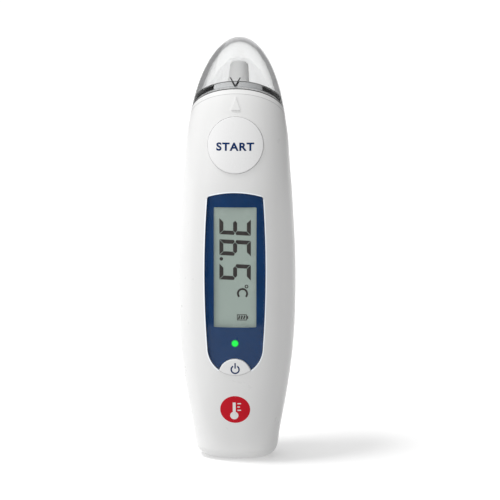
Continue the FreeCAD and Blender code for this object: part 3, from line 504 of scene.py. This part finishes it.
# The standby sign on the small button: an open ring with a bar in its gap.
STANDBY_X, STANDBY_Z, STANDBY_RADIUS, STANDBY_LINE = 0.1, 33.35, 1.33, 0.48
STANDBY_BAR_LOW, STANDBY_BAR_HIGH, STANDBY_BAR_WIDTH = 33.7, 35.6, 0.46
sign = bmesh.new()
add_arc(sign, (STANDBY_X, STANDBY_Z), STANDBY_RADIUS, STANDBY_LINE, start_deg=-240, end_deg=60)
add_stroke(sign, (STANDBY_X, STANDBY_BAR_HIGH), (STANDBY_X, STANDBY_BAR_LOW), STANDBY_BAR_WIDTH)
printed("standby_sign", sign, "power_button", "power_button", "navy_ink",
        step=0.4 * MM)

# The line-up mark on the cap: two strokes that meet at their feet. They are drawn dark: painted
# shade for an embossed clear mark, which looks dark where it bends the light.
MARK_TOP, MARK_FOOT, MARK_LINE = 130.7, 128.0, 0.36
chevron = bmesh.new()
for top_x, foot_x in ((-2.15, -0.3), (1.25, -0.4)):
    add_stroke(chevron, (top_x, MARK_TOP), (foot_x, MARK_FOOT), MARK_LINE)
printed("cap_mark", chevron, "cap", "cap", "painted_refraction_line", step=0.4 * MM)

# A plain thermometer sign on the badge: a bulb, a stem and three lines of its scale.
BULB_X, BULB_Z, BULB_RADIUS = -0.3, 16.9, 1.4
STEM_LOW, STEM_HIGH, STEM_WIDTH = 17.4, 21.6, 1.0
SCALE_START, SCALE_LINE = 0.8, 0.4
sign = bmesh.new()
add_disc(sign, (BULB_X, BULB_Z), BULB_RADIUS)
add_stroke(sign, (BULB_X, STEM_LOW), (BULB_X, STEM_HIGH), STEM_WIDTH)
for scale_end, z in ((2.0, 21.2), (1.6, 20.0), (2.0, 18.8)):
    add_stroke(sign, (SCALE_START, z), (scale_end, z), SCALE_LINE)
printed("badge_sign", sign, "badge", "housing", "white_ink", step=0.5 * MM)


def arc_points(first, middle, last, parts):
    """Points on the arc through three (x, z) points, in millimetres."""
    (ax, az), (bx, bz), (cx, cz) = first, middle, last
    d = 2 * (ax * (bz - cz) + bx * (cz - az) + cx * (az - bz))
    a2, b2, c2 = ax * ax + az * az, bx * bx + bz * bz, cx * cx + cz * cz
    ux = (a2 * (bz - cz) + b2 * (cz - az) + c2 * (az - bz)) / d
    uz = (a2 * (cx - bx) + b2 * (ax - cx) + c2 * (bx - ax)) / d
    radius = math.hypot(ax - ux, az - uz)
    start = math.atan2(az - uz, ax - ux)
    turn = math.atan2(cz - uz, cx - ux) - start
    turn = (turn + math.pi) % (2 * math.pi) - math.pi
    return [(ux + radius * math.cos(start + turn * i / parts),
             uz + radius * math.sin(start + turn * i / parts)) for i in range(parts + 1)]


def bend_corner(points, index, reach, parts=8):
    """Rounds the corner of a polyline at one point over a reach on each side."""
    x, z = points[index]
    before = [p for p in points[:index] if math.hypot(p[0] - x, p[1] - z) > reach]
    after = [p for p in points[index + 1:] if math.hypot(p[0] - x, p[1] - z) > reach]
    (ax, az), (cx, cz) = before[-1], after[0]
    bend = []
    for i in range(1, parts):
        t = i / parts
        bend.append(((1 - t) ** 2 * ax + 2 * t * (1 - t) * x + t * t * cx,
                     (1 - t) ** 2 * az + 2 * t * (1 - t) * z + t * t * cz))
    return before + bend + after


def add_band(mesh, points, width, outward):
    """A strip along a polyline, moved outward from the display's middle."""
    rails = ([], [])
    for i, (x, z) in enumerate(points):
        px, pz = points[max(i - 1, 0)]
        qx, qz = points[min(i + 1, len(points) - 1)]
        length = math.hypot(qx - px, qz - pz)
        nx, nz = -(qz - pz) / length, (qx - px) / length
        for rail, reach in zip(rails, (outward - width / 2, outward + width / 2)):
            rail.append(mesh.verts.new(((x + nx * reach) * MM, 0, (z + nz * reach) * MM)))
    for i in range(len(points) - 1):
        mesh.faces.new((rails[0][i], rails[0][i + 1], rails[1][i + 1], rails[1][i]))


# The clear border of the display window, outside its dark print, drawn as a thin band that glows: a
# painted highlight along the window's edge.
# The window is an arc at its top, bowed at its sides and round at its foot, where the small button
# ends the border.
CORNER_X, CORNER_Z, CROWN_Z = 9.26, 91.6, 93.1
BOW_X, BOW_Z = 10.24, 66.6
FOOT_RADIUS, FOOT_Z = 9.35, 40.6
FOOT_PARTS, FOOT_STEP = 26, math.radians(2.1)
CORNER_REACH = 0.9
BORDER_WIDTH, BORDER_OUTWARD, BORDER_LIFT = 0.3, 0.24, 0.03 * MM


def mirrored(points):
    return [(-x, z) for x, z in reversed(points)]


def corner_at(points, x, z):
    """The index of the point nearest to a place."""
    return min(range(len(points)), key=lambda i: math.hypot(points[i][0] - x, points[i][1] - z))


top_edge = arc_points((-CORNER_X, CORNER_Z), (0, CROWN_Z), (CORNER_X, CORNER_Z),
                      parts=60)
right_edge = arc_points((CORNER_X, CORNER_Z), (BOW_X, BOW_Z), (FOOT_RADIUS, FOOT_Z),
                        parts=90)
right_foot = [(FOOT_RADIUS * math.cos(FOOT_STEP * i),
               FOOT_Z - FOOT_RADIUS * math.sin(FOOT_STEP * i)) for i in range(1, FOOT_PARTS + 1)]
right_side = right_edge[1:] + right_foot
outline = mirrored(right_side) + top_edge + right_side
for corner_x in (-CORNER_X, CORNER_X):
    outline = bend_corner(outline, corner_at(outline, corner_x, CORNER_Z), CORNER_REACH)
border = bmesh.new()
add_band(border, outline, BORDER_WIDTH, BORDER_OUTWARD)
printed("window_border_highlight", border, "front_housing", "housing", "border_painted_highlight",
        lift=BORDER_LIFT)


# ---------------------------------------------------------------- the reading on the display

FILM_Y = -12.2 * MM         # front of the film
FILM_T = 0.14 * MM
READING_Y = FILM_Y - 0.04 * MM
DIGIT_LOW_X = -5.3
DIGIT_HEIGHT = 10.55
DIGIT_SLANT = 0.045         # sideways shift of a digit per millimetre of its height
BAR_WIDTH = 1.35
BAR_GAP = 0.1
LIT_BARS = {"3": "abgcd", "6": "afgedc", "5": "afgcd"}
DIGITS = (("3", 84.6, 5.55), ("6", 77.35, 5.35), ("5", 69.2, 5.45))    # top and width of each
POINT_X, POINT_Z, POINT_RADIUS = -4.65, 70.7, 0.6
DEGREE_X, DEGREE_Z, DEGREE_RADIUS, DEGREE_LINE = 3.8, 61.35, 0.47, 0.32
LETTER_X, LETTER_Z, LETTER_RADIUS, LETTER_LINE = 2.46, 58.94, 1.55, 0.66
BATTERY_LINE = 0.24
BATTERY_SIDES_Z, BATTERY_SIDES_X = (49.9, 51.7), (0.6, 3.9)
BATTERY_ENDS_X, BATTERY_ENDS_Z = (0.72, 3.78), (49.8, 51.8)
KNOB_X, KNOB_LOW, KNOB_HIGH, KNOB_WIDTH = 4.15, 50.3, 51.3, 0.42
CHARGE_X, CHARGE_LEAN, CHARGE_WIDTH = (1.35, 2.2, 3.05), 0.18, 0.5
CHARGE_LOW, CHARGE_HIGH = 50.2, 51.4


def bar_outlines(width, height):
    """The seven bars of a digit as (right, up) points, each cut off at a slant."""
    w, g, mid = BAR_WIDTH, BAR_GAP, height / 2
    side = [(0, height - g), (w, height - w - g), (w, mid + w / 2 + g), (w / 2, mid + g),
            (0, mid + w / 4 + g)]
    top_bar = [(g, height), (width - g, height), (width - w - g, height - w), (w + g, height - w)]
    return {
        "a": top_bar,
        "b": [(width - x, y) for x, y in side],
        "c": [(width - x, height - y) for x, y in side],
        "d": [(x, height - y) for x, y in top_bar],
        "e": [(x, height - y) for x, y in side],
        "f": side,
        "g": [(w / 2 + g, mid), (w + g, mid + w / 2), (width - w - g, mid + w / 2),
              (width - w / 2 - g, mid), (width - w - g, mid - w / 2), (w + g, mid - w / 2)],
    }


def add_digit(mesh, digit, z_top, width):
    """A seven-bar digit lying on its side: its top faces +X and it is read downwards."""
    outlines = bar_outlines(width, DIGIT_HEIGHT)
    for bar in LIT_BARS[digit]:
        add_polygon(mesh, [(DIGIT_LOW_X + up, z_top - right - up * DIGIT_SLANT)
                           for right, up in outlines[bar]], READING_Y)


# A film in front of the glass shows the lit display, because light isn't followed through as many
# clear layers as lie before the reflector.
# The film glows a little: painted light that stands in for the lit reflector, as the display has no
# lamp.
film = bmesh.new()
low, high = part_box("lcd_front_glass")
for y in (FILM_Y, FILM_Y + FILM_T):
    film.faces.new([film.verts.new((x, y, z)) for x, z in
                    ((low[0], low[2]), (high[0], low[2]), (high[0], high[2]), (low[0], high[2]))])
film.faces.ensure_lookup_table()
bmesh.ops.bridge_loops(film, edges=film.edges[:])
bmesh.ops.recalc_face_normals(film, faces=film.faces[:])
finish_piece("lcd_front_film", film, "housing", "lcd_film_painted_glow")

reading = bmesh.new()
for digit, z_top, width in DIGITS:
    add_digit(reading, digit, z_top, width)
# The point, the degree ring and the letter C.
add_disc(reading, (POINT_X, POINT_Z), POINT_RADIUS, parts=20, y=READING_Y)
add_arc(reading, (DEGREE_X, DEGREE_Z), DEGREE_RADIUS, DEGREE_LINE, parts=24, y=READING_Y)
add_arc(reading, (LETTER_X, LETTER_Z), LETTER_RADIUS, LETTER_LINE, -45, 225, y=READING_Y)
# The battery sign: the sides and ends of its frame, its knob and three bars of charge.
for z in BATTERY_SIDES_Z:
    start, end = ((x, z) for x in BATTERY_SIDES_X)
    add_stroke(reading, start, end, BATTERY_LINE, READING_Y)
for x in BATTERY_ENDS_X:
    start, end = ((x, z) for z in BATTERY_ENDS_Z)
    add_stroke(reading, start, end, BATTERY_LINE, READING_Y)
add_stroke(reading, (KNOB_X, KNOB_LOW), (KNOB_X, KNOB_HIGH), KNOB_WIDTH, READING_Y)
for x in CHARGE_X:
    add_stroke(reading, (x - CHARGE_LEAN, CHARGE_LOW), (x + CHARGE_LEAN, CHARGE_HIGH),
               CHARGE_WIDTH, READING_Y)
face_front(reading)
finish_piece("display_reading", reading, "housing", "lcd_ink")


# ---------------------------------------------------------------- floor, light and camera


FLOOR_REACH = 6             # metres from the object to each edge of the floor


def flat_panel(name, corners, material):
    """A sheet with four corners, as a piece of the stage."""
    data = bpy.data.meshes.new(name)
    data.from_pydata([tuple(c) for c in corners], [], [(0, 1, 2, 3)])
    data.materials.append(material)
    panel = bpy.data.objects.new(name, data)
    scene.collection.objects.link(panel)
    return panel


floor_paint = solid("floor_paint", (0.95, 0.95, 0.95), 0.8, vary=0.004, patch_mm=60.0, grain=0.02,
                    emission=((1, 1, 1), 0.12))
floor = flat_panel("floor", [(x * FLOOR_REACH, y * FLOOR_REACH, 0)
                             for x, y in ((-1, -1), (1, -1), (1, 1), (-1, 1))], floor_paint)
floor.visible_diffuse = False

CLOTH_LEVEL = 0.004         # how bright black cloth is
CLOTH_EDGE_LEVEL = 0.9      # how bright it is through the edge of the cap
EDGE_DEPTH = 4.5            # surfaces that light meets on its way through that edge, at most
CARD_LEVEL = 0.4


def flag_paint():
    """Black cloth. What only grazes the edge of the clear cap sees it as grey."""
    mat, tree = new_material("flag_cloth")
    out = add(tree, "ShaderNodeOutputMaterial")
    black = add(tree, "ShaderNodeEmission", Color=(1, 1, 1, 1), Strength=CLOTH_LEVEL)
    grey = add(tree, "ShaderNodeEmission", Color=(1, 1, 1, 1), Strength=CLOTH_EDGE_LEVEL)
    path = add(tree, "ShaderNodeLightPath")
    bent = add(tree, "ShaderNodeMath", operation="LESS_THAN")
    link(tree, path.outputs["Ray Depth"], bent.inputs[0])
    bent.inputs[1].default_value = EDGE_DEPTH
    both = add(tree, "ShaderNodeMath", operation="MULTIPLY")
    link(tree, path.outputs["Is Transmission Ray"], both.inputs[0])
    link(tree, bent.outputs["Value"], both.inputs[1])
    mix = add(tree, "ShaderNodeMixShader")
    link(tree, both.outputs["Value"], mix.inputs["Fac"])
    link(tree, black.outputs["Emission"], mix.inputs[1])
    link(tree, grey.outputs["Emission"], mix.inputs[2])
    link(tree, mix.outputs["Shader"], out.inputs["Surface"])
    return mat


def card_paint():
    """Grey card that lies on the floor right in front of the object."""
    mat, tree = new_material("grey_card")
    out = add(tree, "ShaderNodeOutputMaterial")
    grey = add(tree, "ShaderNodeEmission", Color=(0.9, 0.95, 1, 1), Strength=CARD_LEVEL)
    link(tree, grey.outputs["Emission"], out.inputs["Surface"])
    return mat


def gloss_only(panel, bent_light):
    """Lets a panel be seen only in shiny surfaces, and through clear plastic if bent_light."""
    panel.visible_camera = False
    panel.visible_diffuse = False
    panel.visible_shadow = False
    panel.visible_transmission = bent_light


# Black flags at both sides, from beside the camera to behind the object. All sizes are in metres.
FLAG_LOW, FLAG_HIGH = 0.12, 0.62
FLAG_NEAR_X, FLAG_NEAR_Y = 0.62, -0.42
FLAG_FAR_X, FLAG_FAR_Y = 0.30, 0.75
flag_cloth = flag_paint()
for name, side in (("flag_left", -1), ("flag_right", 1)):
    near_end, far_end = (side * FLAG_NEAR_X, FLAG_NEAR_Y), (side * FLAG_FAR_X, FLAG_FAR_Y)
    gloss_only(flat_panel(name, [(*near_end, FLAG_LOW), (*far_end, FLAG_LOW),
                                 (*far_end, FLAG_HIGH), (*near_end, FLAG_HIGH)],
                          flag_cloth), bent_light=True)

# A grey card at the object's foot.
CARD_REACH, CARD_BACK, CARD_Z = 0.2, -0.016, 0.001
gloss_only(flat_panel("front_card", [(-CARD_REACH, -CARD_REACH, CARD_Z),
                                     (CARD_REACH, -CARD_REACH, CARD_Z),
                                     (CARD_REACH, CARD_BACK, CARD_Z),
                                     (-CARD_REACH, CARD_BACK, CARD_Z)], card_paint()),
           bent_light=False)

# Black cloth on the floor in front, ending in a low curved wall.
WALL_RADIUS, WALL_HEIGHT, WALL_PARTS, WALL_TURN = 1.0, 0.14, 24, 160
CLOTH_NEAR, CLOTH_Z = 0.2, 0.002


def front_point(part, radius, z):
    """A point on a circle in front of the object, counted in parts from the left."""
    angle = math.radians(WALL_TURN * (part / WALL_PARTS - 0.5))
    return math.sin(angle) * radius, -math.cos(angle) * radius, z


for i in range(WALL_PARTS):
    foot, crown, near = ([front_point(part, radius, z) for part in (i, i + 1)]
                         for radius, z in ((WALL_RADIUS, CLOTH_Z), (WALL_RADIUS, WALL_HEIGHT),
                                           (CLOTH_NEAR, CLOTH_Z)))
    gloss_only(flat_panel(f"front_flag_{i}", foot + crown[::-1], flag_cloth), bent_light=False)
    gloss_only(flat_panel(f"front_cloth_{i}", near + foot[::-1], flag_cloth), bent_light=False)


LIGHT_LEVEL = 0.655         # light from the sides, and its change along each axis
LIGHT_X = -0.40
LIGHT_Y = -0.15
LIGHT_Z = 0.08
LIGHT_BEHIND = 0.8          # extra light from right behind the object
BEHIND_POWER = 4.0          # how narrow that light is
BACKDROP_LEVEL = 1.05


def studio_sky():
    """Soft light from all round, strongest from the left, and a plain white backdrop."""
    world = bpy.data.worlds.new("studio")
    scene.world = world
    world.use_nodes = True
    tree = world.node_tree
    tree.nodes.clear()
    coord = add(tree, "ShaderNodeTexCoord")
    parts = add(tree, "ShaderNodeSeparateXYZ")
    link(tree, coord.outputs["Generated"], parts.inputs["Vector"])
    level = None
    for axis, share in (("X", LIGHT_X), ("Y", LIGHT_Y), ("Z", LIGHT_Z)):
        slope = add(tree, "ShaderNodeMath", operation="MULTIPLY_ADD")
        slope.inputs[1].default_value = share
        slope.inputs[2].default_value = LIGHT_LEVEL
        link(tree, parts.outputs[axis], slope.inputs[0])
        if level:
            link(tree, level, slope.inputs[2])
        level = slope.outputs["Value"]
    behind = add(tree, "ShaderNodeMath", operation="MAXIMUM")
    link(tree, parts.outputs["Y"], behind.inputs[0])
    behind.inputs[1].default_value = 0.0
    lobe = add(tree, "ShaderNodeMath", operation="POWER")
    link(tree, behind.outputs["Value"], lobe.inputs[0])
    lobe.inputs[1].default_value = BEHIND_POWER
    total = add(tree, "ShaderNodeMath", operation="MULTIPLY_ADD")
    link(tree, lobe.outputs["Value"], total.inputs[0])
    total.inputs[1].default_value = LIGHT_BEHIND
    link(tree, level, total.inputs[2])
    surround = add(tree, "ShaderNodeBackground", Color=(1.0, 1.0, 1.0, 1))
    link(tree, total.outputs["Value"], surround.inputs["Strength"])
    backdrop = add(tree, "ShaderNodeBackground", Color=(1.0, 1.0, 1.0, 1),
                   Strength=BACKDROP_LEVEL)
    path = add(tree, "ShaderNodeLightPath")
    choose = add(tree, "ShaderNodeMixShader")
    link(tree, path.outputs["Is Camera Ray"], choose.inputs["Fac"])
    link(tree, surround.outputs["Background"], choose.inputs[1])
    link(tree, backdrop.outputs["Background"], choose.inputs[2])
    out = add(tree, "ShaderNodeOutputWorld")
    link(tree, choose.outputs["Shader"], out.inputs["Surface"])


studio_sky()

# The key lamp leaves no highlight, only its light and the shadow.
KEY_DIRECTION = Vector((0.33, 0.10, -0.84))
KEY_LEVEL = 1.15
KEY_SPREAD = math.radians(14)
sun = bpy.data.lights.new("key", "SUN")
sun.energy = KEY_LEVEL
sun.angle = KEY_SPREAD
key = bpy.data.objects.new("key", sun)
scene.collection.objects.link(key)
key.visible_glossy = False
key.visible_transmission = False
key.rotation_euler = KEY_DIRECTION.to_track_quat("-Z", "Y").to_euler()

AIM = Vector((0.0, 0.0, 0.07))
CAMERA_DISTANCE = 0.6
CAMERA_AZIMUTH = math.radians(3)
CAMERA_ELEVATION = math.radians(9)
back = Vector((math.sin(CAMERA_AZIMUTH) * math.cos(CAMERA_ELEVATION),
               -math.cos(CAMERA_AZIMUTH) * math.cos(CAMERA_ELEVATION),
               math.sin(CAMERA_ELEVATION)))
lens = bpy.data.cameras.new("camera")
lens.lens = 126.4
lens.sensor_width = 36.0
lens.shift_x = 0.0258
lens.shift_y = 0.0106
lens.clip_start = 0.01
camera = bpy.data.objects.new("camera", lens)
scene.collection.objects.link(camera)
camera.location = AIM + back * CAMERA_DISTANCE
camera.rotation_euler = (-back).to_track_quat("-Z", "Y").to_euler()
scene.camera = camera

scene.view_settings.view_transform = "Standard"
scene.view_settings.look = "None"
